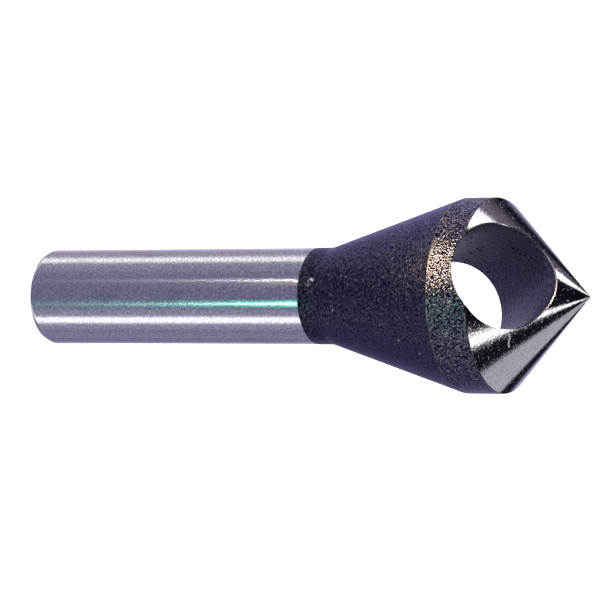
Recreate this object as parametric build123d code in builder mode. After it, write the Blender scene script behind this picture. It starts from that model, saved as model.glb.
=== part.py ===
from build123d import *

import os
from math import cos, radians, sin, tan

# Countersink bit with one cross hole and no flutes, turned, bored and ground from a single bar of high-speed
# steel. Z runs up the bit's axis, from the middle of the shank's end face to the point. The hole's mouth is
# in the flank towards -Y, and it leaves through the back of the head towards +Y. Sizes are in mm and degrees.

# Shank, the ground end that a chuck or collet holds
shank_diameter = 10.0
shank_length = 32.4
shank_chamfer_width = 0.3
shank_chamfer_length = 0.6

# Collar, the root of the head, a hair wider than the ground shank
collar_step = 0.04
collar_length = 1.9

# Head, a straight back taper that opens to a cylindrical land
head_diameter = 20.0
taper_length = 15.4
land_length = 3.3

# Ground flank. Its half angle falls round the turn, from the cutting edge through the far side to the heel,
# and the step from heel back up to edge lies inside the hole's mouth.
edge_half_angle = 46.9
far_half_angle = 45.2
heel_half_angle = 44.2
point_offset = 0.16

# Cross hole, square to the flank within a degree or so, and its broken rims
hole_diameter = 11.0
hole_lean = 46.2
hole_offset = 0.2
hole_depth_below_flank = 2.6
rim_break = 0.12

# Radii and heights that follow
shank_radius = shank_diameter / 2
collar_radius = shank_radius + collar_step
head_radius = head_diameter / 2
taper_foot = shank_length + collar_length
land_foot = taper_foot + taper_length
flank_foot = land_foot + land_length
point_height = flank_foot + head_radius / tan(radians(heel_half_angle))
hole_height = flank_foot - hole_depth_below_flank
blank_reach = point_height + head_diameter

# Bar turned to the outline of shank, collar, taper and land, left full width where the flank is ground
with BuildPart() as turned_bar:
    with BuildSketch(Plane.XZ):
        with BuildLine():
            Polyline(
                (0, 0),
                (shank_radius - shank_chamfer_width, 0),
                (shank_radius, shank_chamfer_length),
                (shank_radius, shank_length),
                (collar_radius, shank_length),
                (collar_radius, taper_foot),
                (head_radius, land_foot),
                (head_radius, point_height),
                (0, point_height),
                close=True,
            )
        make_face()
    revolve(axis=Axis.Z)

# Ground cone in two half turns. Each half is a true cone about an axis leaned within the step's plane, and
# the two share the point and the generator on the far side, so only the step breaks the surface.
point = Vector(point_offset, 0, point_height)
step_plane = Plane(origin=point, x_dir=(0, -1, 0), z_dir=(-1, 0, 0))


with BuildPart() as ground_cone:
    for mouth_half_angle, turn in ((edge_half_angle, 1), (heel_half_angle, -1)):
        half_angle = radians(mouth_half_angle + far_half_angle) / 2
        lean = radians(mouth_half_angle - far_half_angle) / 2
        foot = Vector(sin(lean), -cos(lean)) * blank_reach
        rim = foot + Vector(cos(lean), sin(lean)) * blank_reach * tan(half_angle)
        with BuildSketch(step_plane):
            with BuildLine():
                Polyline((0, 0), foot, rim, close=True)
            make_face()
        leaned_axis = Axis(point, Vector(0, sin(lean), cos(lean)) * turn)
        revolve(axis=leaned_axis, revolution_arc=180)

# The bit: the turned bar inside the ground cone, less the cross hole, with the hole's rims broken
hole_direction = Vector(0, -sin(radians(hole_lean)), cos(radians(hole_lean)))
hole_plane = Plane(origin=(-hole_offset, 0, hole_height), x_dir=(1, 0, 0), z_dir=hole_direction)

with BuildPart() as countersink_bit:
    add(turned_bar.part)
    add(ground_cone.part, mode=Mode.INTERSECT)
    with BuildSketch(hole_plane):
        Circle(hole_diameter / 2)
    extrude(amount=head_diameter, both=True, mode=Mode.SUBTRACT)
    hole_wall = countersink_bit.faces(Select.LAST).filter_by(GeomType.CYLINDER).sort_by(SortBy.AREA)[-1]
    hole_rims = hole_wall.edges().filter_by(GeomType.LINE, reverse=True)
    chamfer(hole_rims, length=rim_break)

countersink_bit.part.label = "countersink_bit"

os.makedirs("parts", exist_ok=True)
export_step(countersink_bit.part, "parts/countersink_bit.step")
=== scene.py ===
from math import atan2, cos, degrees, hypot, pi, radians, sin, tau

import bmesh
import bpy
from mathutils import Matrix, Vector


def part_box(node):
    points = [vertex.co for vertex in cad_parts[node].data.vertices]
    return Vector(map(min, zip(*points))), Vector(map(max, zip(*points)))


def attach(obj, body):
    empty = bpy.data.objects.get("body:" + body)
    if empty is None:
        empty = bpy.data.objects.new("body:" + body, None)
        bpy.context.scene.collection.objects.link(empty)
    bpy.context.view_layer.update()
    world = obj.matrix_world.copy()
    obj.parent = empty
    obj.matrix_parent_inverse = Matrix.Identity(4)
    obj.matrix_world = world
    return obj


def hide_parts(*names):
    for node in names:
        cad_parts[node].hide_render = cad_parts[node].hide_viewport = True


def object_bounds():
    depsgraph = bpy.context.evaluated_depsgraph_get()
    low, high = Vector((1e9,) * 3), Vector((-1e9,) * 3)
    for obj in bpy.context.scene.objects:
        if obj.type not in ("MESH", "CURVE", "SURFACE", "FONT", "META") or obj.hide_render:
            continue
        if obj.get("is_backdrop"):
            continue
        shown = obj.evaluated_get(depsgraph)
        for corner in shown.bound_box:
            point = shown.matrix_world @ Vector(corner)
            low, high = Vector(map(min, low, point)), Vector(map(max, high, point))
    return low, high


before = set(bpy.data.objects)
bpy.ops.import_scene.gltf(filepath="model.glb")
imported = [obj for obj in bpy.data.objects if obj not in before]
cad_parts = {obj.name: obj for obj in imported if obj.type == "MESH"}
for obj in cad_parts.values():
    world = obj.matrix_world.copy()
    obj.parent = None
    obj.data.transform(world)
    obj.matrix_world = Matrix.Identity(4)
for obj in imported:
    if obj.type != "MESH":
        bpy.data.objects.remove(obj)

# %% [markdown]
# # A countersink bit with a cross hole
# The real bit is one bar of high-speed steel. It is turned to shape, bored through at a slant, blackened
# when it is hardened, and then ground bright on the shank and on the cone that cuts. The rim of the
# slanted hole is the cutting edge, and the hole is the way out for the chips.
#
# This lesson makes the shapes first. It turns a bar, grinds the point, bores the hole and breaks the sharp
# edges. Then each worked surface gets a finish of its own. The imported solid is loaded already, so its box
# is measured first and compared with the finished model at the end.

MM = 0.001
SOLID = "countersink_bit"
cad_low, cad_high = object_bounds()
print("solid box in mm:", [round(c / MM, 2) for c in (*cad_low, *cad_high)])

# %% [markdown]
# ## Sizes
# A turned part needs few sizes: a length and a radius for each zone along its axis. They are written
# once, in metres, measured up the axis from the middle of the shank's end face. The radius of the head
# and the height of the point aren't typed in a second time. They are read from the solid's box, so the
# two can't disagree.

# %% Sizes of the bit
shank_radius = 5.0 * MM
shank_length = 32.4 * MM
shank_chamfer_width = 0.3 * MM
shank_chamfer_length = 0.6 * MM
collar_radius = shank_radius + 0.04 * MM
taper_foot = shank_length + 1.9 * MM
land_foot = taper_foot + 15.4 * MM
flank_foot = land_foot + 3.3 * MM
head_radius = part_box(SOLID)[1].x
point_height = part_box(SOLID)[1].z
print("head diameter in mm:", round(2 * head_radius / MM, 2), "length:", round(point_height / MM, 2))

# %% [markdown]
# ## Sizes of the point
# A countersink's cone is close to 90 degrees, so each half angle is close to 45. It is a little wider at
# the cutting edge than at the heel behind it, and the point stands a little off the axis. Both come from
# the way the relief is ground.

# %% Sizes of the ground point
edge_half_angle = radians(46.9)
far_half_angle = radians(45.2)
heel_half_angle = radians(44.2)
point_offset = 0.16 * MM
print("the cone's relief in degrees:", round(degrees(edge_half_angle - heel_half_angle), 1))

# %% [markdown]
# ## Sizes of the cross hole
# The hole is a little more than half as wide as the head, and it leans by about 45 degrees, so that one
# end opens in the cone and the other in the back of the taper. The narrow flats and rounds along the
# edges are sizes too, because they catch the light and are seen from far away.

# %% Sizes of the cross hole and of the broken edges
hole_radius = 5.5 * MM
hole_lean = radians(46.2)
hole_offset = 0.2 * MM
hole_height = flank_foot - 2.6 * MM
rim_break = 0.12 * MM
edge_break = 0.07 * MM
print("the hole's middle in mm:", round(hole_height / MM, 2))

# %% [markdown]
# ## How finely to divide
# A mesh has no true curves, only flat faces. Their number is chosen so that one face is about half a
# millimetre wide, which looks round even close up. Points nearer to each other than the weld distance are
# taken for the same point.

# %% How finely the round surfaces are divided
TURN_STEPS = 128
HOLE_STEPS = 112
WELD = 0.0005 * MM
print("a facet of the head in mm:", round(tau * head_radius / TURN_STEPS / MM, 2))

# %% [markdown]
# ## Turning the bar
# On a lathe the bar turns and the tool follows an outline. Blender's spin operator does the same: it
# sweeps a chain of points round an axis. A cylinder and a cone could be joined instead, but each join
# would have to be welded and trimmed, and a chain gives the whole bar with clean rings in one step.

# %% Spinning a profile
def spin_profile(profile, axis=Vector((0, 0, 1)), centre=Vector((0, 0, 0)), turn=tau, steps=TURN_STEPS,
                 soft=()):
    """The surface that a chain of points sweeps round an axis, with its seam and its poles welded."""
    bm = bmesh.new()
    chain = [bm.verts.new(place) for place in profile]
    for first, second in zip(chain, chain[1:]):
        bm.edges.new((first, second))
    if soft:
        bmesh.ops.bevel(bm, geom=[chain[i] for i in soft], offset=edge_break, offset_type="OFFSET",
                        segments=2, profile=0.5, affect="VERTICES", material=-1)
    bmesh.ops.spin(bm, geom=bm.verts[:] + bm.edges[:], axis=axis, cent=centre, angle=turn, steps=steps,
                   use_merge=turn == tau)
    bmesh.ops.remove_doubles(bm, verts=bm.verts, dist=WELD)
    bmesh.ops.dissolve_degenerate(bm, edges=bm.edges, dist=WELD)
    return bm


# %% [markdown]
# ## The bar's outline
# The chain starts in the middle of the end face, climbs the side and returns to the axis above the point.
# The stock above the land is left at full width, because the grinding in the next step takes it away. The
# corner between the taper and the land is worn round on the real bit, so the chain's point there is
# bevelled before the spin, which rounds the whole ring at once.

# %% The bar's outline, swept once round
def outline_point(radius, height):
    """A point of the bar's outline, on the side that faces -Y."""
    return Vector((0, -radius, height))


stock_top = point_height + head_radius
bar_outline = [
    outline_point(0, 0),
    outline_point(shank_radius - shank_chamfer_width, 0),
    outline_point(shank_radius, shank_chamfer_length),
    outline_point(shank_radius, shank_length),
    outline_point(collar_radius, shank_length),
    outline_point(collar_radius, taper_foot),
    outline_point(head_radius, land_foot),
    outline_point(head_radius, stock_top),
    outline_point(0, stock_top),
]
land_corner = 6
turned_bar = spin_profile(bar_outline, soft=[land_corner])
print("turned bar:", len(turned_bar.faces), "faces")

# %% [markdown]
# ## Grinding the point
# The cone that cuts isn't a plain cone. It is ground so that its surface falls away behind the cutting
# edge, or it would only rub. The half angle therefore shrinks a little from the edge, round the far side,
# to the heel. A lathe-like spin can't change its angle on the way, so two half cones are used, each spun
# half a turn about an axis that leans by half the difference. They share the point and the line on the
# far side.
#
# The rings are close together near the point, because a long thin face that ends in a point smears its
# shading.

# %% Half of the ground cone
point = Vector((point_offset, 0, point_height))
ring_distances = [ring * MM for ring in (0.0, 0.15, 0.4, 1.0, 2.2, 4.5, 8.0, 120.0)]


def ground_half(mouth_half_angle, turn):
    """Half of the cone, spun from its line over the hole's mouth round to the far side."""
    lean = (mouth_half_angle - far_half_angle) / 2
    line = Vector((0, -sin(mouth_half_angle), -cos(mouth_half_angle)))
    chain = [point + line * distance for distance in ring_distances]
    return spin_profile(chain, Vector((0, sin(lean), cos(lean))), point, turn, TURN_STEPS // 2)


print("rings on the cone:", len(ring_distances))


# %% Joining the two halves
def join(bm, other):
    """Adds the faces of another bmesh, which is used up."""
    carrier = bpy.data.meshes.new("carrier")
    other.to_mesh(carrier)
    other.free()
    bm.from_mesh(carrier)
    bpy.data.meshes.remove(carrier)


ground_cone = ground_half(edge_half_angle, pi)
join(ground_cone, ground_half(heel_half_angle, -pi))
bmesh.ops.remove_doubles(ground_cone, verts=ground_cone.verts, dist=WELD)
print("two half cones:", len(ground_cone.faces), "faces")

# %% [markdown]
# ## Closing the cone
# On the near side the two halves don't meet, so a step joins them. It grows from nothing at the point to
# less than two tenths of a millimetre where the hole's rim will be, and the hole later swallows the rest.
# A cut needs a closed solid, so the step and the wide open foot each get a face. Both faces share one new
# edge along the bottom of the step. In the end no edge may be open.

# %% Closing the step and the foot
def on_the_step(vertex):
    """Whether a vertex lies in the plane where the two halves step past each other."""
    return vertex.co.y < WELD and abs(vertex.co.x - point.x) < WELD


rim_edges = [e for e in ground_cone.edges if e.is_boundary]
step_edges = [e for e in rim_edges if all(on_the_step(v) for v in e.verts)]
foot_edges = [e for e in rim_edges if e not in step_edges]
step_ends = [v for v in ground_cone.verts
             if {e in step_edges for e in v.link_edges if e.is_boundary} == {True, False}]
step_foot = ground_cone.edges.new(step_ends)
bmesh.ops.contextual_create(ground_cone, geom=step_edges + [step_foot])
bmesh.ops.contextual_create(ground_cone, geom=foot_edges + [step_foot])
print("ground cone: open edges left", sum(e.is_boundary for e in ground_cone.edges))

# %% [markdown]
# ## Cutting one solid with another
# Grinding keeps what the bar and the cone have in common, and drilling takes a rod away from the rest.
# Both are Boolean operations. The exact solver is used, since faces that nearly touch confuse the fast
# one. Each solid is given its own finish number first, and the cut carries these numbers over to the new
# faces, so afterwards every face still knows which tool made it.

# %% Finishes, one for each way the surface was made
SKIN, FLANK, BORE, SHANK, RIM, WORN, LAND = range(7)
finish_names = ["black_skin", "ground_flank", "bored_wall", "ground_shank", "broken_rim", "worn_edge",
                "rubbed_land"]
finishes = [bpy.data.materials.new(name) for name in finish_names]
print("finishes:", ", ".join(finish_names))


# %% A solid object
def solid_object(bm, name, finish):
    """An object made of a bmesh, its faces pointing outwards and all of one finish."""
    bmesh.ops.recalc_face_normals(bm, faces=bm.faces)
    for face in bm.faces:
        face.material_index = finish
    mesh = bpy.data.meshes.new(name)
    bm.to_mesh(mesh)
    bm.free()
    for material in finishes:
        mesh.materials.append(material)
    made = bpy.data.objects.new(name, mesh)
    bpy.context.scene.collection.objects.link(made)
    return made


# %% A cut
def cut(work, tool, operation):
    """Cuts the work with the tool, keeps the result in the work's mesh and throws the tool away."""
    modifier = work.modifiers.new("cut", "BOOLEAN")
    modifier.object = tool
    modifier.operation = operation
    modifier.solver = "EXACT"
    modifier.material_mode = "INDEX"
    evaluated = work.evaluated_get(bpy.context.evaluated_depsgraph_get())
    machined = bpy.data.meshes.new_from_object(evaluated)
    work.modifiers.clear()
    work.data = machined
    bpy.data.objects.remove(tool)


# %% Grinding the bar
body = solid_object(turned_bar, "countersink_body", SKIN)
cut(body, solid_object(ground_cone, "ground_cone", FLANK), "INTERSECT")
print("ground bar:", len(body.data.polygons), "faces")

# %% [markdown]
# ## The cross hole
# The hole runs through the head at a slant and comes out at the back of the taper. Where it breaks
# through the cone it leaves the long curved edge that does the cutting. It is a plain rod-shaped cut. The
# rod is made along Z, then turned and placed by one matrix that takes Z to the hole's own axis.

# %% Boring the hole
hole_axis = Vector((0, -sin(hole_lean), cos(hole_lean)))
hole_middle = Vector((-hole_offset, 0, hole_height))
hole_place = Matrix.Translation(hole_middle) @ hole_axis.to_track_quat("Z", "X").to_matrix().to_4x4()
drill = bmesh.new()
bmesh.ops.create_cone(drill, cap_ends=True, segments=HOLE_STEPS, radius1=hole_radius, radius2=hole_radius,
                      depth=4 * head_radius, matrix=hole_place)
cut(body, solid_object(drill, "drill", BORE), "DIFFERENCE")
print("bored bar:", len(body.data.polygons), "faces")

# %% [markdown]
# ## Breaking the edges
# A fresh bore leaves a razor edge that chips, so its rims are broken with a narrow flat. The line between
# the land and the cone isn't broken on purpose, but use has worn it round. Both are bevels: one segment
# makes the flat, two make the round.

# %% The edges between two finishes
bm = bmesh.new()
bm.from_mesh(body.data)


def edges_between(finish, *others):
    """The edges where one finish meets any of the others."""
    pairs = [{finish, other} for other in others]
    return [e for e in bm.edges if {f.material_index for f in e.link_faces} in pairs]


def corners(edges):
    """The vertices of some edges, each once and in the same order in every run."""
    return list(dict.fromkeys(v for e in edges for v in e.verts))


def sharp_edges():
    """The hole's rims and the line between the land and the cone."""
    return edges_between(BORE, SKIN, FLANK) + edges_between(SKIN, FLANK)


print("sharp edges:", len(sharp_edges()))

# %% [markdown]
# ## Clearing the way for a bevel
# The cuts left a few very short edges, where a line of the cone falls beside a line of the hole. A bevel
# that is wider than the edges it runs along folds over itself, so those are welded to the rim first. The
# shape hardly changes, and the strip comes out even.

# %% Clearing short edges away from the rims
CLEAR = 2 * rim_break
bmesh.ops.remove_doubles(bm, verts=corners(sharp_edges()), dist=CLEAR)
kept = corners(sharp_edges())
onto = {}
for corner in kept:
    for edge in corner.link_edges:
        if edge.calc_length() < CLEAR and edge.other_vert(corner) not in kept:
            onto[edge.other_vert(corner)] = corner
bmesh.ops.weld_verts(bm, targetmap=onto)
bmesh.ops.dissolve_degenerate(bm, edges=bm.edges, dist=WELD)
print("vertices moved onto a rim:", len(onto))

# %% [markdown]
# ## The flat and the rounds
# Each bevel makes a strip of new faces. The strip gets a finish number of its own, since a broken edge is
# bare steel while the surfaces beside it are black. Bevels may not overlap at the corners, where three
# strips meet, so the hole's rims go first and the line round the cone's foot after them.

# %% Bevels
def bevel_edges(edges, width, segments, finish):
    """Bevels some edges and gives the new strip its finish."""
    made = bmesh.ops.bevel(bm, geom=edges, offset=width, offset_type="OFFSET", segments=segments,
                           profile=0.5, affect="EDGES", clamp_overlap=False, loop_slide=False, material=-1)
    for face in made["faces"]:
        face.material_index = finish
    print(finish_names[finish], "strip:", len(made["faces"]), "faces")


bevel_edges(edges_between(BORE, SKIN, FLANK), rim_break, 1, RIM)
bevel_edges(edges_between(SKIN, FLANK), edge_break, 2, WORN)
bmesh.ops.dissolve_degenerate(bm, edges=bm.edges, dist=WELD)

# %% [markdown]
# ## Sorting the turned faces
# The bar was turned in one piece, but it isn't one finish. The shank is ground bright up to the collar.
# The land, which is the short straight part of the head, is rubbed thin by the work, and so is the
# rounded corner below it. The height of a face's middle tells them apart. Faces that meet at less than a
# small angle are shaded as one smooth surface.

# %% A finish for each turned face
SHARP = radians(12)
for face in bm.faces:
    height = face.calc_center_median().z
    if face.material_index == SKIN and height < shank_length + WELD:
        face.material_index = SHANK
    if face.material_index == SKIN and abs(height - land_foot) < edge_break:
        face.material_index = WORN
    if face.material_index == SKIN and height > land_foot:
        face.material_index = LAND
    face.smooth = True
for edge in bm.edges:
    edge.smooth = edge.calc_face_angle() < SHARP
for number, name in enumerate(finish_names):
    print(name, sum(f.material_index == number for f in bm.faces), "faces")
print("faces", len(bm.faces), "open edges", sum(not e.is_manifold for e in bm.edges))
bm.to_mesh(body.data)
bm.free()

# %% [markdown]
# ## True normals
# Smooth shading guesses a normal at each corner from the faces round it. After a cut, the faces beside
# the hole are long and uneven, and on a polished cone the guess shows as kinks in the reflections. The
# shapes are all known here, so their normals can be worked out instead of guessed: a turned surface
# points away from the axis, the ground cone away from its leaned axis, and the bore towards its own. The
# narrow broken and worn edges, the end face and its chamfer keep the automatic ones.

# %% Normals of the turned surfaces
taper_slope = -atan2(head_radius - collar_radius, land_foot - taper_foot)
print("the taper's slope in degrees:", round(degrees(taper_slope), 1))


def turned_normal(place):
    """The outward normal of the turned bar, or none on its flat ends and its chamfer."""
    radius = hypot(place.x, place.y)
    if place.z < shank_chamfer_length - WELD or radius < shank_radius - WELD:
        return Vector((0, 0, 0))
    slope = taper_slope if taper_foot < place.z < land_foot else 0.0
    return Vector((place.x / radius * cos(slope), place.y / radius * cos(slope), sin(slope)))


# %% Normals of the ground cone and of the bore
def ground_normal(place):
    """The outward normal of the leaned half cone that the place lies on."""
    mouth_half_angle = edge_half_angle if place.x > point.x else heel_half_angle
    lean = (mouth_half_angle - far_half_angle) / 2
    axis = Vector((0, sin(lean), cos(lean)))
    aside = (place - point) - axis * axis.dot(place - point)
    half_angle = mouth_half_angle - lean
    return aside.normalized() * cos(half_angle) + axis * sin(half_angle)


def bored_normal(place):
    """The normal of the bore, which points at the hole's axis."""
    return (hole_middle - place + hole_axis * hole_axis.dot(place - hole_middle)).normalized()


# %% [markdown]
# ## Storing the normals
# Blender keeps such normals on the corners of the faces, so that two faces may share a vertex and still
# have a sharp edge between them. Each normal is worked out a hair's breadth inside its face, because a
# vertex on the line between two surfaces belongs to both. Where the result disagrees too much with the
# face, it is left out.

# %% Storing the normals on the mesh
true_normal = {SKIN: turned_normal, SHANK: turned_normal, LAND: turned_normal,
               FLANK: ground_normal, BORE: bored_normal}
TOWARDS_MIDDLE = 0.001
LEAST_AGREEMENT = 0.5
normals = [Vector((0, 0, 0))] * len(body.data.loops)
for face in body.data.polygons:
    if face.material_index not in true_normal:
        continue
    for corner in face.loop_indices:
        vertex = body.data.vertices[body.data.loops[corner].vertex_index].co
        normal = true_normal[face.material_index](vertex.lerp(face.center, TOWARDS_MIDDLE))
        if normal.dot(face.normal) > LEAST_AGREEMENT:
            normals[corner] = normal
body.data.normals_split_custom_set(normals)
print("corners with a worked-out normal:", sum(n.length > 0 for n in normals), "of", len(normals))

# %% [markdown]
# ## Helpers for materials
# A material is a tree of nodes. Coordinates go in, a pattern is made of them, and the pattern ends on the
# sockets of a shader. A node takes four or five lines when it is written out, so a few helpers keep the
# finishes below short enough to read.
#
# Every pattern reads Object coordinates, which are places on the piece itself in metres. Such a pattern
# needs no unwrapping, has the same grain size everywhere, and stays on the steel when the bit is moved.

# %% A shader
def shader(material):
    """Empties a material and gives it one Principled shader. Returns the tree and the shader."""
    material.use_nodes = True
    tree = material.node_tree
    tree.nodes.clear()
    out = tree.nodes.new("ShaderNodeOutputMaterial")
    principled = tree.nodes.new("ShaderNodeBsdfPrincipled")
    tree.links.new(principled.outputs["BSDF"], out.inputs["Surface"])
    return tree, principled


# %% A node
def node(tree, kind, inputs=None, **settings):
    """A node with its settings, its input values and its links."""
    made = tree.nodes.new("ShaderNode" + kind)
    for name, value in settings.items():
        setattr(made, name, value)
    for name, value in (inputs or {}).items():
        if isinstance(value, bpy.types.NodeSocket):
            tree.links.new(value, made.inputs[name])
        else:
            made.inputs[name].default_value = value
    return made


def maths(tree, operation, *values):
    """The result of a Math node on two or three values."""
    return node(tree, "Math", dict(enumerate(values)), operation=operation).outputs["Value"]


def object_place(tree):
    """The place on the piece, in metres."""
    return node(tree, "TexCoord").outputs["Object"]


# %% [markdown]
# ## Noise, and what is made of it
# Almost nothing on worn steel is even, and nearly all of it can be made from one kind of noise. A ramp
# turns the noise into colours, a fade turns it into a mask or a roughness, and a bump turns it into
# relief. The noise's frequency is in grains to the metre, so 4000 means grains of a quarter of a
# millimetre.

# %% Noise
def noise(tree, frequency, detail=2.0, roughness=0.5, stretch=(1, 1, 1), shift=(0, 0, 0)):
    """A noise from 0 to 1 with about so many grains to the metre."""
    place = node(tree, "Mapping", {"Vector": object_place(tree), "Scale": stretch, "Location": shift})
    wanted = {"Vector": place.outputs["Vector"], "Scale": frequency, "Detail": detail,
              "Roughness": roughness}
    return node(tree, "TexNoise", wanted).outputs["Fac"]


# %% Colours and masks from a value
def ramp(tree, value, stops):
    """A colour for each value, blended between the stops."""
    made = node(tree, "ValToRGB", {"Fac": value})
    elements = made.color_ramp.elements
    while len(elements) < len(stops):
        elements.new(0.5)
    for element, (position, colour) in zip(elements, stops):
        element.position = position
        element.color = (*colour, 1.0)
    return made.outputs["Color"]


def fade(tree, value, start, end, first=0.0, last=1.0):
    """A value that goes from first to last while the input goes from start to end."""
    wanted = {"Value": value, "From Min": start, "From Max": end, "To Min": first, "To Max": last}
    return node(tree, "MapRange", wanted).outputs["Result"]


# %% Layers and relief
def over(tree, colour, mask, top):
    """The colour, with the top colour laid over it where the mask is 1."""
    return node(tree, "Mix", {0: mask, 6: colour, 7: (*top, 1.0)}, data_type="RGBA").outputs[2]


def bump(tree, height, distance):
    """A normal that makes the surface look raised by the distance where the height is 1."""
    return node(tree, "Bump", {"Height": height, "Distance": distance}).outputs["Normal"]


# %% [markdown]
# ## Spots at known places
# A dent or a chip has one place, so noise can't make it. A spot is the distance to a point, faded from 1
# to 0 at the spot's edge. Several spots in a row make a scratch or a nick.

# %% Small spots at known places
def spots(tree, place, centres, radius):
    """1 inside any of some small round spots, 0 outside. Centres and radius are in millimetres."""
    mask = 0.0
    for centre in centres:
        ends = {0: place, 1: Vector(centre) * MM}
        away = node(tree, "VectorMath", ends, operation="DISTANCE").outputs["Value"]
        mask = maths(tree, "MAXIMUM", mask, fade(tree, away, radius * MM, radius * MM / 2))
    return mask


def report_finish(number):
    """Prints how many nodes a finish took."""
    print(finish_names[number] + ":", len(finishes[number].node_tree.nodes), "nodes")


print("finishes still to make:", len(finishes))

# %% [markdown]
# ## The ground shank
# The shank is ground on its outside, so that a chuck grips it true. The wheel leaves fine scratches that
# run round it. Each scratch spreads light along the bit and not across it, and that is why a ground bar
# shows long straight streaks of light. The shader has this as anisotropy: a radial tangent tells it which
# way the scratches run, and a quarter turn lays the long side of the highlight along the bit.
#
# A fine grain in the colour and a bump of about a thousandth of a millimetre keep the streaks from
# looking like glass. A few faint clouds are the smudges that handling leaves. They are a second, much
# larger noise.

# %% Scratches that run round the axis
QUARTER_TURN = 0.25


def scratched_round(tree, steel, roughness, anisotropy):
    """Makes a shader shine as steel does that was turned or ground about Z."""
    tangent = node(tree, "Tangent", direction_type="RADIAL", axis="Z")
    tree.links.new(tangent.outputs["Tangent"], steel.inputs["Tangent"])
    steel.inputs["Roughness"].default_value = roughness
    steel.inputs["Anisotropic"].default_value = anisotropy
    steel.inputs["Anisotropic Rotation"].default_value = QUARTER_TURN


# %% Ground shank
def ground_shank(material):
    """Bright steel with a fine grain, scratches round the axis and a few smudges."""
    tree, steel = shader(material)
    steel.inputs["Metallic"].default_value = 1.0
    scratched_round(tree, steel, roughness=0.18, anisotropy=0.9)
    grain = noise(tree, 5200, detail=1)
    colour = ramp(tree, grain, [(0.3, (0.42, 0.41, 0.42)), (0.7, (0.81, 0.80, 0.81))])
    cloud = noise(tree, 420, stretch=(1, 1, 0.35), shift=(0.03, 0, 0))
    smudge = fade(tree, cloud, 0.60, 0.72, 0.0, 0.35)
    tree.links.new(over(tree, colour, smudge, (0.30, 0.29, 0.33)), steel.inputs["Base Color"])
    scratches = noise(tree, 9000, stretch=(0.1, 0.1, 1))
    relief = maths(tree, "MULTIPLY_ADD", scratches, 0.3, grain)
    tree.links.new(bump(tree, relief, 0.0014 * MM), steel.inputs["Normal"])


ground_shank(finishes[SHANK])
report_finish(SHANK)

# %% [markdown]
# ## The black skin
# Steam or hot oil turns the surface of hardened steel into a thin black oxide. It isn't paint, so the
# turned surface still shows through it: dark, slightly violet, with a soft shine and a fine grain. Where
# the skin is a little thinner there are paler specks, and where it is rough there are pits that give no
# light back.
#
# One noise does all of this, so that the effects belong together. Its high values are the specks, its low
# values the pits, and its slope is the bump. A pit is made by turning the shader metallic where its
# colour is black, since black metal reflects nothing. A weak bluish sheen gives the oxide its bloom at
# the edges.

# %% What the two black surfaces have in common
VIOLET_TINT = (0.72, 0.66, 1.0, 1.0)
BLOOM_TINT = (0.12, 0.12, 1.0, 1.0)
PIT_EDGE = 0.05


def skin_finish(material, ior, roughness, frequency, pit, specks):
    """A dark grainy skin with paler specks and black pits. Returns its tree, shader and colour."""
    tree, skin = shader(material)
    skin.inputs["IOR"].default_value = ior
    skin.inputs["Roughness"].default_value = roughness
    skin.inputs["Specular Tint"].default_value = VIOLET_TINT
    skin.inputs["Sheen Weight"].default_value = 0.08
    skin.inputs["Sheen Roughness"].default_value = 0.5
    skin.inputs["Sheen Tint"].default_value = BLOOM_TINT
    grain = noise(tree, frequency, detail=1)
    pits = fade(tree, grain, pit - PIT_EDGE, pit + PIT_EDGE, 1.0, 0.0)
    tree.links.new(pits, skin.inputs["Metallic"])
    tree.links.new(bump(tree, grain, 0.1 * MM), skin.inputs["Normal"])
    return tree, skin, ramp(tree, grain, specks)


# %% [markdown]
# ## Small marks on the skin
# The real collar has one small dent with a curled burr beside it, and the taper has a few bright chips
# where the steel shows. Such marks have a place of their own, so they aren't left to a noise. Each is a
# spot round a given place, where the colour is laid over the skin's. The dent and the burr are painted
# lighter than the skin, as painted highlights where their slopes would catch the light. The chips are
# bare steel.

# %% Black skin
# Places of the collar's dent and burr, which get painted highlights, in millimetres.
collar_dent_highlight = [(-0.12, -5.03, 33.88), (-0.02, -5.03, 34.04)]
collar_burr_highlight = [(0.42, -5.03, 33.42), (0.22, -5.03, 33.62), (0.02, -5.03, 33.60), (0.60, -5.02, 33.62),
               (0.48, -5.03, 33.84)]
taper_chips = [(3.23, -4.90, 36.88), (6.62, -5.45, 45.27), (7.86, -5.04, 47.65)]


def black_skin(material):
    """The oxide on the collar and the taper, with its marks and painted highlights on the dent and burr."""
    specks = [(0.52, (0.0, 0.0, 0.002)), (0.66, (0.007, 0.006, 0.015)), (0.84, (0.075, 0.062, 0.08))]
    tree, skin, colour = skin_finish(material, ior=1.43, roughness=0.34, frequency=4400, pit=0.41,
                                     specks=specks)
    place = object_place(tree)
    # The burr and the dent are painted lighter than the skin: painted highlights where light would catch
    # them.
    colour = over(tree, colour, spots(tree, place, collar_burr_highlight, 0.13), (0.06, 0.06, 0.085))
    colour = over(tree, colour, spots(tree, place, collar_dent_highlight, 0.2), (0.17, 0.17, 0.21))
    colour = over(tree, colour, spots(tree, place, taper_chips, 0.12), (0.30, 0.30, 0.34))
    tree.links.new(colour, skin.inputs["Base Color"])


black_skin(finishes[SKIN])
report_finish(SKIN)

# %% [markdown]
# ## The rubbed land
# The land is the widest part, so it rubs on the work and the skin there is worn thin. It is the same skin
# as on the taper with a few things changed: a higher index of refraction for a stronger shine, a lower
# roughness since rubbing polishes, brighter specks where the steel is bare, and a slightly finer grain
# with more pits.

# %% Rubbed land
def rubbed_land(material):
    """The same skin, shinier and with bare specks of steel."""
    specks = [(0.48, (0.0, 0.0, 0.004)), (0.62, (0.027, 0.023, 0.024)), (0.80, (0.25, 0.22, 0.21))]
    tree, skin, colour = skin_finish(material, ior=1.72, roughness=0.29, frequency=4800, pit=0.44,
                                     specks=specks)
    tree.links.new(colour, skin.inputs["Base Color"])


rubbed_land(finishes[LAND])
report_finish(LAND)

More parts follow.
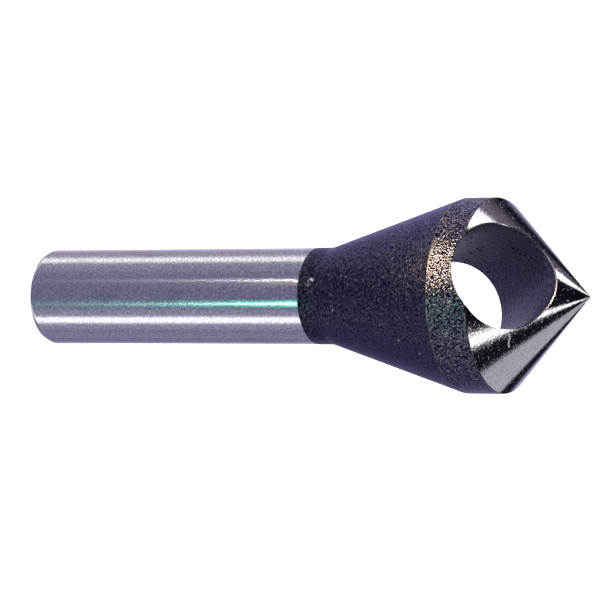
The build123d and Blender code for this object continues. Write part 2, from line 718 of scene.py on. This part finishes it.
# %% [markdown]
# ## The ground cone
# The cone is ground last and is nearly a mirror: it is black where the room is dark and white where a
# lamp stands. What tells it from a perfect mirror is dust and tiny chips. They scatter light, so there
# the shader is less metallic and rougher, and the base colour shows. Near the foot the cone also has one
# nick, a short bright scar left by a chip. It is a row of small spots on a line.

# %% Ground cone
flank_nick = [(5.51, -4.10, 56.90), (5.68, -3.92, 56.86), (5.83, -3.75, 56.83), (6.02, -3.66, 56.70),
              (6.20, -3.50, 56.64), (6.38, -3.30, 56.60), (6.50, -3.14, 56.57)]


def ground_flank(material):
    """Mirror-bright steel with fine specks and one nick."""
    tree, steel = shader(material)
    scratched_round(tree, steel, roughness=0.12, anisotropy=0.3)
    grain = noise(tree, 4200, detail=2, roughness=0.6)
    steel_colours = [(0.30, (0.30, 0.29, 0.31)), (0.42, (0.57, 0.55, 0.58)), (0.7, (0.66, 0.64, 0.66))]
    nick = spots(tree, object_place(tree), flank_nick, 0.12)
    colour = over(tree, ramp(tree, grain, steel_colours), nick, (0.75, 0.73, 0.80))
    tree.links.new(colour, steel.inputs["Base Color"])
    dull = maths(tree, "MAXIMUM", fade(tree, grain, 0.64, 0.74, 0.0, 0.6), nick)
    tree.links.new(fade(tree, dull, 0.0, 1.0, 1.0, 0.0), steel.inputs["Metallic"])
    tree.links.new(fade(tree, grain, 0.60, 0.76, 0.10, 0.38), steel.inputs["Roughness"])
    tree.links.new(bump(tree, grain, 0.01 * MM), steel.inputs["Normal"])


ground_flank(finishes[FLANK])
report_finish(FLANK)

# %% [markdown]
# ## The bored wall
# The bore was blackened with the rest and nothing has rubbed it since, so its skin is bluer and its tool
# marks are left. They run round the hole and not round the bit. A noise of the distance along the hole's
# own axis gives such rings, and only the dot product of the place and that axis is needed for it.
#
# The wall also has a few larger pits. They are longer along the hole than across it. The place is squashed
# along the axis before the distances are measured, which stretches each spot by as much. Low on one side
# the wall is painted paler and bluer, a pool of light painted into its colour.

# %% Squashing a place along the hole
SQUASH = 0.37
wall_pits = [(-5.36, -2.61, 50.29), (-5.22, -2.20, 49.50), (-5.55, -0.57, 49.20), (-5.70, 1.70, 48.92),
             (-5.67, 2.11, 49.08), (-5.69, 1.22, 49.71), (-5.70, 3.08, 47.48), (-5.08, 0.05, 53.85)]
# The middle of the pool of light that is painted on the wall, in millimetres.
painted_light_patch = [(-5.0, -1.0, 48.5)]
BORE_TINT = (0.68, 0.60, 1.0, 1.0)


def squashed(place):
    """A place, in any unit, with its distance along the hole's axis made shorter."""
    return place - hole_axis * (1 - SQUASH) * hole_axis.dot(place)


print("a pit's length over its width:", round(1 / SQUASH, 1))


# %% Bored wall
def bored_wall(material):
    """The bore's skin, with rings round the hole, grain, pits and a painted pool of light."""
    tree, wall = shader(material)
    wall.inputs["IOR"].default_value = 1.5
    wall.inputs["Roughness"].default_value = 0.36
    place = object_place(tree)
    along = node(tree, "VectorMath", {0: place, 1: hole_axis}, operation="DOT_PRODUCT").outputs["Value"]
    grain = noise(tree, 4000, detail=1)
    specks = [(0.42, (0.0, 0.0, 0.004)), (0.58, (0.005, 0.004, 0.022)), (0.82, (0.09, 0.08, 0.17))]
    # A painted pool of light: the wall's colour is paler and bluer round one point low on one side.
    patch = fade(tree, spots(tree, place, painted_light_patch, 5.0), 0.0, 1.0, 0.0, 0.7)
    colour = over(tree, ramp(tree, grain, specks), patch, (0.05, 0.05, 0.10))

    shorter = node(tree, "VectorMath", {0: hole_axis * (1 - SQUASH), "Scale": along}, operation="SCALE")
    ends = {0: place, 1: shorter.outputs["Vector"]}
    squeezed = node(tree, "VectorMath", ends, operation="SUBTRACT").outputs["Vector"]
    pits = spots(tree, squeezed, [squashed(Vector(pit)) for pit in wall_pits], 0.15)
    black = maths(tree, "MAXIMUM", fade(tree, grain, 0.34, 0.42, 0.7, 0.0), pits)
    tree.links.new(over(tree, colour, black, (0.0, 0.0, 0.0)), wall.inputs["Base Color"])
    tint = over(tree, BORE_TINT, black, (0.0, 0.0, 0.0))
    tree.links.new(tint, wall.inputs["Specular Tint"])
    tree.links.new(black, wall.inputs["Metallic"])

    rings = node(tree, "TexNoise", {"W": along, "Scale": 2600, "Detail": 2.0}, noise_dimensions="1D")
    relief = maths(tree, "MULTIPLY_ADD", rings.outputs["Fac"], 0.5, grain)
    tree.links.new(bump(tree, relief, 0.08 * MM), wall.inputs["Normal"])


bored_wall(finishes[BORE])
report_finish(BORE)

# %% [markdown]
# ## The broken rims
# The rims of the hole were broken after the bit was blackened, so their narrow flat is bare steel. It is
# a bright metal whose grain varies from dark to light, as a deburring tool leaves it.

# %% Broken rim
def broken_rim(material):
    """Bare steel with a coarse grain."""
    tree, steel = shader(material)
    steel.inputs["Metallic"].default_value = 1.0
    steel.inputs["Roughness"].default_value = 0.22
    grain = noise(tree, 9000)
    colour = ramp(tree, grain, [(0.35, (0.3, 0.3, 0.33)), (0.65, (0.7, 0.7, 0.74))])
    tree.links.new(colour, steel.inputs["Base Color"])


broken_rim(finishes[RIM])
report_finish(RIM)

# %% [markdown]
# ## The worn edges
# The rounded edges of the land have lost only part of their skin. A slower noise lays brown patches,
# where the skin is thin, between black ones where it is still whole. It isn't metallic, because the oxide
# covers the steel.

# %% Worn edge
def worn_edge(material):
    """Skin that is rubbed through in patches."""
    tree, edge = shader(material)
    edge.inputs["IOR"].default_value = 1.6
    edge.inputs["Roughness"].default_value = 0.35
    wear = noise(tree, 1500, detail=3)
    colour = ramp(tree, wear, [(0.48, (0.004, 0.003, 0.006)), (0.75, (0.12, 0.10, 0.09))])
    tree.links.new(colour, edge.inputs["Base Color"])


worn_edge(finishes[WORN])
report_finish(WORN)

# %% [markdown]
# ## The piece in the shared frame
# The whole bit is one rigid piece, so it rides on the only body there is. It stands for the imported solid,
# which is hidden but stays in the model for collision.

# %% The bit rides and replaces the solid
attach(body, "root")
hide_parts(SOLID)
print("piece:", body.name, "at", tuple(body.location), "with", len(body.data.polygons), "faces")

# %% [markdown]
# ## The camera
# The bit is looked at from a little above, and it lies across the view with its point to the right. A
# standing bit is best left standing: the camera is rolled a quarter turn instead. Three vectors say where
# the camera's own axes go. Its back points away from the bit, its right side runs up the bit's axis, and
# its up is at right angles to both. They are the columns of its matrix. The lens is long and the camera
# far away, which keeps the shank's sides almost parallel.

# %% Where the camera stands
camera_turn = radians(-71.25)
camera_height_angle = radians(28.33)
camera_roll = radians(-0.11)
camera_distance = 454.46 * MM
camera_lens = 264.76
aim_height = 40.0 * MM
aim_right = 8.758 * MM
aim_up = 0.423 * MM
print("camera's distance in mm:", round(camera_distance / MM, 1), "lens in mm:", camera_lens)


# %% The camera's own axes
def direction_at(turn, height_angle):
    """A unit vector that points at a compass angle and at a height angle."""
    flat = cos(height_angle)
    return Vector((flat * cos(turn), flat * sin(turn), sin(height_angle)))


back = direction_at(camera_turn, camera_height_angle)
axis_in_view = Vector((0, 0, 1)) - back * back.z
right = (Matrix.Rotation(camera_roll, 3, back) @ axis_in_view).normalized()
up = back.cross(right)
aim = Vector((0, 0, aim_height)) - right * aim_right - up * aim_up
print("camera's right side:", [round(c, 3) for c in right])

# %% [markdown]
# ## Making the camera
# The matrix puts the camera in its place and turns it in one step. The aim is a point on the axis, moved
# a little to the side so that the whole bit fits in the frame, and the camera stands straight back from
# it. It has no depth of field, so every part is sharp.

# %% Making the camera
camera = bpy.data.objects.new("camera", bpy.data.cameras.new("camera"))
bpy.context.scene.collection.objects.link(camera)
camera_axes = Matrix((right, up, back)).transposed().to_4x4()
camera.matrix_world = Matrix.Translation(aim + back * camera_distance) @ camera_axes
camera.data.sensor_width = 36
camera.data.lens = camera_lens
camera.data.clip_start = 0.05
camera.data.clip_end = 10
bpy.context.scene.camera = camera
print("camera's place in mm:", [round(c / MM, 1) for c in camera.matrix_world.translation])

# %% [markdown]
# ## The floor
# A plain white sheet, without any edge in sight. It gives off light of its own, so that it is as white
# behind the bit as beside it. It is kept out of reflections, because the bit's mirror-like cone would
# otherwise show white where the real one shows the dark room. It is declared as stage, so it isn't taken
# for a part of the bit.

# %% Floor
FLOOR_HALF_SIZE = 4.0
floor_bm = bmesh.new()
bmesh.ops.create_grid(floor_bm, x_segments=1, y_segments=1, size=FLOOR_HALF_SIZE)
floor_mesh = bpy.data.meshes.new("floor")
floor_bm.to_mesh(floor_mesh)
floor_bm.free()
floor = bpy.data.objects.new("floor", floor_mesh)
bpy.context.scene.collection.objects.link(floor)
floor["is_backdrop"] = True
floor.visible_glossy = False
print("floor:", 2 * FLOOR_HALF_SIZE, "m wide")

# %% The floor's paper
paper = bpy.data.materials.new("paper")
floor_mesh.materials.append(paper)
tree, sheet = shader(paper)
sheet.inputs["Base Color"].default_value = (0.9, 0.9, 0.9, 1)
sheet.inputs["Roughness"].default_value = 0.9
sheet.inputs["Specular IOR Level"].default_value = 0.0
sheet.inputs["Emission Color"].default_value = (1, 1, 1, 1)
sheet.inputs["Emission Strength"].default_value = 1.0
print("paper:", len(tree.nodes), "nodes")

# %% [markdown]
# ## Lamps
# Shiny steel shows its surroundings more than its own colour, so most of its light comes from the panels
# in a later step. One large soft lamp stands high on one side and gives the duller parts their shape. It
# is kept out of reflections.

# %% A lamp
def level(turn):
    """A level direction, turned so many degrees from the camera's."""
    return direction_at(camera_turn - radians(turn), 0)


def lamp(name, place, target, size, energy, colour=(1, 1, 1)):
    """A round lamp that looks at a target and isn't seen itself."""
    data = bpy.data.lights.new(name, "AREA")
    data.shape = "DISK"
    data.size = size
    data.energy = energy
    data.color = colour
    made = bpy.data.objects.new(name, data)
    bpy.context.scene.collection.objects.link(made)
    made.location = place
    made.rotation_euler = (place - target).to_track_quat("Z", "Y").to_euler()
    made.visible_camera = False
    return made


# %% Key lamp
KEY_TURN = 60
KEY_HEIGHT_ANGLE = radians(50)
KEY_DISTANCE = 1.0
key_place = direction_at(camera_turn - radians(KEY_TURN), KEY_HEIGHT_ANGLE) * KEY_DISTANCE
key = lamp("key", key_place, Vector((0, 0, 0)), 0.3, 8.0)
key.visible_glossy = False
print("key lamp's place:", [round(c, 2) for c in key_place])

# %% [markdown]
# ## Lamps for the streaks
# A few small lamps make the bright streaks. A round bar mirrors a lamp into the eye along one line only,
# so the lamp's place is worked out backwards: choose the side of the bar where the streak should be, take
# the surface's direction there, turn as far again past it, and go out along the mirrored ray.
#
# A lamp close to the bar gives a short wide glow, and one further off a long thin line. A wide lamp at the
# same place as a small one gives a line with a glow round it, which is how the green streak is made.

# %% A streak lamp
LAND_MIDDLE = (land_foot + flank_foot) / 2
COLLAR_MIDDLE = (shank_length + taper_foot) / 2


def streak_lamp(name, side, distance, size, energy, colour, height=LAND_MIDDLE, radius=head_radius):
    """A small lamp that the bar, on the given side and at the given height, mirrors into the camera."""
    mirror = level(side) * radius + Vector((0, 0, height))
    ray = level(2 * side) * cos(camera_height_angle) - Vector((0, 0, sin(camera_height_angle)))
    lamp(name, mirror + ray * distance, mirror, size, energy, colour)
    print(name, "at", [round(c / MM, 1) for c in mirror + ray * distance], "mm")


# %% The streak lamps
SEA_GREEN = (0.0, 1.0, 0.55)
PALE_GREEN = (0.55, 1.0, 0.73)
WHITE = (1.0, 1.0, 1.0)
GOLD = (1.0, 0.81, 0.42)
streak_lamp("warm_lamp", 18, 22 * MM, 5 * MM, 0.0165, GOLD)
streak_lamp("line_lamp", 18.7, 95 * MM, 4 * MM, 0.0066, WHITE)
streak_lamp("green_lamp", -9, 95 * MM, 5 * MM, 0.009, PALE_GREEN)
streak_lamp("green_glow", -9, 95 * MM, 26 * MM, 0.0085, SEA_GREEN)
streak_lamp("collar_lamp", -9, 95 * MM, 5 * MM, 0.0005, WHITE, COLLAR_MIDDLE, collar_radius)
streak_lamp("collar_glow", -9, 95 * MM, 26 * MM, 0.0003, SEA_GREEN, COLLAR_MIDDLE, collar_radius)

# %% [markdown]
# ## The studio round the bit
# In a studio, shiny steel stands among white cards and dark gaps, and what is seen on the steel is these.
# Real cards would be many objects, so the sky takes their place: it has a direction for every ray, and a
# patch of light can be put at any compass angle and height angle. Unlike a card, such a patch never stands
# in the way of another light.

# %% The direction in the sky
world = bpy.data.worlds.new("studio")
bpy.context.scene.world = world
world.use_nodes = True
tree = world.node_tree
tree.nodes.clear()
direction = node(tree, "TexCoord").outputs["Generated"]
elevation = maths(tree, "ARCSINE", node(tree, "SeparateXYZ", {"Vector": direction}).outputs["Z"])
print("sky nodes so far:", len(tree.nodes))


# %% Masks in the sky
def between(value, low, high, soft):
    """1 between low and high, falling smoothly to 0 over a soft margin outside."""
    up_to = {"Value": value, "From Min": low - soft, "From Max": low}
    down_from = {"Value": value, "From Min": high, "From Max": high + soft, "To Min": 1.0, "To Max": 0.0}
    rise = node(tree, "MapRange", up_to, interpolation_type="SMOOTHSTEP").outputs["Result"]
    fall = node(tree, "MapRange", down_from, interpolation_type="SMOOTHSTEP").outputs["Result"]
    return maths(tree, "MULTIPLY", rise, fall)


def towards(flat_direction):
    """How far the sky's direction goes along a level one."""
    ends = {0: direction, 1: flat_direction}
    return node(tree, "VectorMath", ends, operation="DOT_PRODUCT").outputs["Value"]


# %% [markdown]
# ## A panel of light
# A panel is two masks multiplied, one for the compass angle and one for the height angle. Each mask has
# soft ends, because a hard end would be seen as a hard line on the steel.

# %% A panel
def panel(turn, half_width, soft, low, high, tall_soft, colour):
    """A soft patch of light in the sky. The angles are in degrees, and the turn is from the camera."""
    ahead = level(turn)
    beside = Vector((-ahead.y, ahead.x, 0))
    off = maths(tree, "ARCTAN2", towards(beside), towards(ahead))
    wide = between(off, -radians(half_width), radians(half_width), radians(soft))
    tall = between(elevation, radians(low), radians(high), radians(tall_soft))
    light = {0: colour, "Scale": maths(tree, "MULTIPLY", wide, tall)}
    return node(tree, "VectorMath", light, operation="SCALE").outputs["Vector"]


# %% [markdown]
# ## The panels
# Low panels are mirrored by the shank, the taper and the bore, since the camera looks down on the bit.
# High ones are mirrored by the cone. They were set one at a time, each by the band of light that it
# makes, and their light is added up.

# %% All the panels
panels = {
    # name: turn, half width, soft edge, lowest, highest, soft end, colour
    "lower": (0, 180, 1, -36, -13, 10, (0.23, 0.23, 0.38)),
    "under": (0, 105, 30, -90, -46, 10, (0.20, 0.20, 0.37)),
    "under_back": (180, 45, 30, -90, -46, 10, (0.16, 0.14, 0.33)),
    "low_back": (172, 5, 15, -66, -38, 8, (0.34, 0.28, 0.62)),
    "low_edge": (165, 10, 12, -46, -30, 6, (0.3, 0.3, 0.45)),
    "upper": (0, 180, 1, -2, 90, 5, (0.008, 0.007, 0.014)),
    "right_low": (101, 3, 11, -90, -8, 8, (1.1, 1.07, 1.0)),
    "right_skirt": (88, 8, 36, -90, -20, 12, (0.13, 0.13, 0.13)),
    "right_plateau": (132, 18, 8, -90, -20, 12, (0.21, 0.17, 0.15)),
    "right_high": (110, 10, 4, 0, 60, 5, (1.9, 1.9, 1.9)),
    "right_glow": (122, 8, 22, 2, 60, 5, (0.20, 0.17, 0.22)),
    "left_low": (-60, 2, 11, -90, -8, 8, (1.6, 1.6, 1.6)),
    "left_skirt": (-60, 22, 14, -90, -20, 12, (0.14, 0.14, 0.14)),
    "left_far": (-112, 10, 12, -90, -20, 12, (0.07, 0.07, 0.08)),
    "left_high": (-75.5, 5, 5, 0, 75, 5, (2.3, 2.3, 2.3)),
    "left_rim": (-160, 20, 10, -22, -12, 5, (0.2, 0.2, 0.22)),
    "grey_card": (-130.5, 16.5, 1, 2, 50, 2, (0.60, 0.57, 0.64)),
    "back": (180, 20, 20, -60, -18, 8, (0.22, 0.22, 0.25)),
}
sky = None
for name, values in panels.items():
    patch = panel(*values)
    if sky is not None:
        patch = node(tree, "VectorMath", {0: sky, 1: patch}, operation="ADD").outputs["Vector"]
    sky = patch
print("panels:", len(panels), "sky nodes:", len(tree.nodes))

# %% [markdown]
# ## Colours as they are
# The sum of the panels goes to the sky's output. The view is set to Standard, which shows a white floor
# as white. Blender's own first choice would press the whites down to grey.

# %% The sky's output and the view
background = node(tree, "Background", {"Color": sky, "Strength": 1.0})
world_out = tree.nodes.new("ShaderNodeOutputWorld")
tree.links.new(background.outputs["Background"], world_out.inputs["Surface"])
bpy.context.scene.view_settings.view_transform = "Standard"
print("view:", bpy.context.scene.view_settings.view_transform)

# %% [markdown]
# ## Checking the size
# The finished model has to fill the same box as the solid that it stands for. Its box is printed, and the
# largest difference from the solid's box too. It should be far below a tenth of a millimetre.

# %% Both boxes
low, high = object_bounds()
largest = max(abs(a - b) for a, b in zip((*low, *high), (*cad_low, *cad_high)))
print("visual box in mm:", [round(c / MM, 2) for c in (*low, *high)])
print("largest difference in mm:", round(largest / MM, 4))
